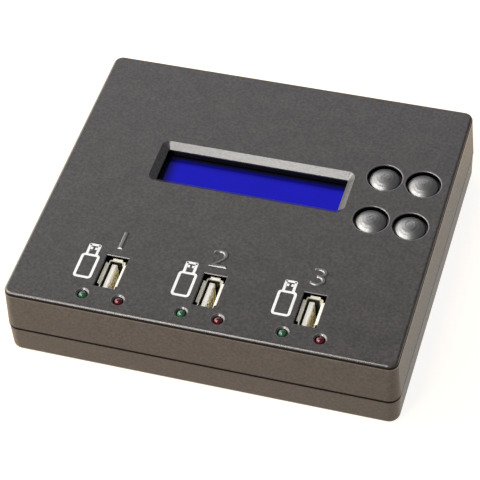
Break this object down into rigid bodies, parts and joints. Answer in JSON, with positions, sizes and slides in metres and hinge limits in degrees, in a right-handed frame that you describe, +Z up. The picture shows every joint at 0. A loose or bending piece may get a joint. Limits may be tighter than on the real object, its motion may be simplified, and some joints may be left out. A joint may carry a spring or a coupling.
{
  "type": "usb duplicator",
  "caption": "Flat desktop box that copies USB sticks by itself: sunken display, domed push keys, upright sockets in a row, a green and a red lamp by each.",
  "frame": {"origin": "on the table, under the middle of the case", "axes": "+X to the right of someone facing the front, +Y to the back, +Z up"},
  "size_m": [0.138, 0.122, 0.0315],
  "materials": {
    "case_plastic": "fine spark-eroded texture, dark warm grey",
    "key_plastic": "smooth satin dark grey",
    "foot_rubber": "matt black",
    "screw_steel": "zinc plated",
    "screw_black": "black oxide",
    "board_green": "green solder mask",
    "socket_steel": "nickel plated, satin",
    "socket_plastic": "ivory",
    "contact_gold": "gold plated",
    "lamp_green": "tinted clear",
    "lamp_red": "tinted clear",
    "black_plastic": "black",
    "display_black": "black painted steel",
    "display_blue": "blue display glass, lit from behind",
    "light_guide": "milky white",
    "display_board": "dark green solder mask",
    "switch_black": "black",
    "chip_black": "matt black moulding",
    "can_aluminium": "satin",
    "coil_grey": "dark grey ferrite"
  },
  "bodies": {
    "root": {"top_cover": "case_plastic", "bottom_cover": "case_plastic", "case_screws": "screw_black", "main_board": "board_green", "board_screws": "screw_steel", "display_board": "display_board", "display_frame": "display_black", "display_glass": "display_blue", "display_backlight": "light_guide", "display_surround": "black_plastic", "display_header": "black_plastic", "display_screws": "screw_steel", "power_jack_housing": "black_plastic", "power_jack_pin": "socket_steel", "power_jack_spring": "socket_steel", "controller_chip": "chip_black", "memory_chip": "chip_black", "crystal": "can_aluminium", "capacitors": "can_aluminium", "inductor": "coil_grey", "foot_front_left": "foot_rubber", "foot_front_right": "foot_rubber", "foot_back_left": "foot_rubber", "foot_back_right": "foot_rubber", "usb_shell_1": "socket_steel", "usb_insulator_1": "socket_plastic", "usb_contacts_1": "contact_gold", "green_lamp_1": "lamp_green", "red_lamp_1": "lamp_red", "green_spacer_1": "black_plastic", "red_spacer_1": "black_plastic", "usb_shell_2": "socket_steel", "usb_insulator_2": "socket_plastic", "usb_contacts_2": "contact_gold", "green_lamp_2": "lamp_green", "red_lamp_2": "lamp_red", "green_spacer_2": "black_plastic", "red_spacer_2": "black_plastic", "usb_shell_3": "socket_steel", "usb_insulator_3": "socket_plastic", "usb_contacts_3": "contact_gold", "green_lamp_3": "lamp_green", "red_lamp_3": "lamp_red", "green_spacer_3": "black_plastic", "red_spacer_3": "black_plastic", "up_switch": "switch_black", "down_switch": "switch_black", "back_switch": "switch_black", "enter_switch": "switch_black"},
    "up_button": {"up_key": "key_plastic", "up_plunger": "switch_black"},
    "down_button": {"down_key": "key_plastic", "down_plunger": "switch_black"},
    "back_button": {"back_key": "key_plastic", "back_plunger": "switch_black"},
    "enter_button": {"enter_key": "key_plastic", "enter_plunger": "switch_black"}
  },
  "joints": [
    {"name": "up_press", "type": "slide", "parent": "root", "child": "up_button", "axis": [0, 0, -1], "range_m": [0, 0.0003], "stiffness_N_per_m": 4000, "springref_m": -0.0003},
    {"name": "down_press", "type": "slide", "parent": "root", "child": "down_button", "axis": [0, 0, -1], "range_m": [0, 0.0003], "stiffness_N_per_m": 4000, "springref_m": -0.0003},
    {"name": "back_press", "type": "slide", "parent": "root", "child": "back_button", "axis": [0, 0, -1], "range_m": [0, 0.0003], "stiffness_N_per_m": 4000, "springref_m": -0.0003},
    {"name": "enter_press", "type": "slide", "parent": "root", "child": "enter_button", "axis": [0, 0, -1], "range_m": [0, 0.0003], "stiffness_N_per_m": 4000, "springref_m": -0.0003}
  ]
}
